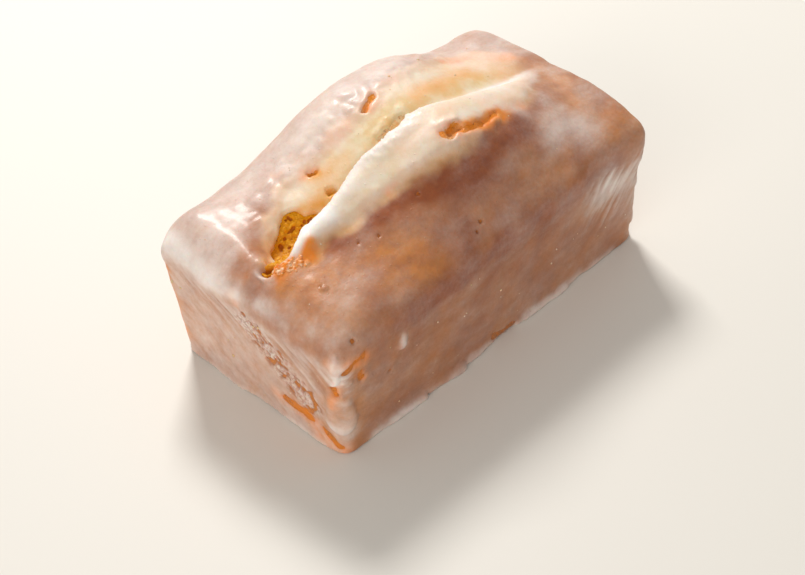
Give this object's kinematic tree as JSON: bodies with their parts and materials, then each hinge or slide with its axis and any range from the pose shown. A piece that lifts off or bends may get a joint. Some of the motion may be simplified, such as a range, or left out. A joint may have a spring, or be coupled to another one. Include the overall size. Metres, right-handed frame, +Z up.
{
  "type": "pound cake loaf",
  "caption": "Glazed loaf cake baked in a rectangular tin, with flared flat walls, a flat base and a domed top that is split along its length.",
  "frame": {"origin": "the middle of the flat base, on the surface that the loaf stands on", "axes": "+Z up; +X along the loaf, from the end where the split gapes to the end where it closes; +Y across it, towards the higher side of the crown"},
  "size_m": [0.1516, 0.0836, 0.0763],
  "materials": {
    "glazed_crust": "browned crust under a thin glossy sugar icing"
  },
  "bodies": {
    "root": {"pound_cake_loaf": "glazed_crust"}
  },
  "joints": []
}
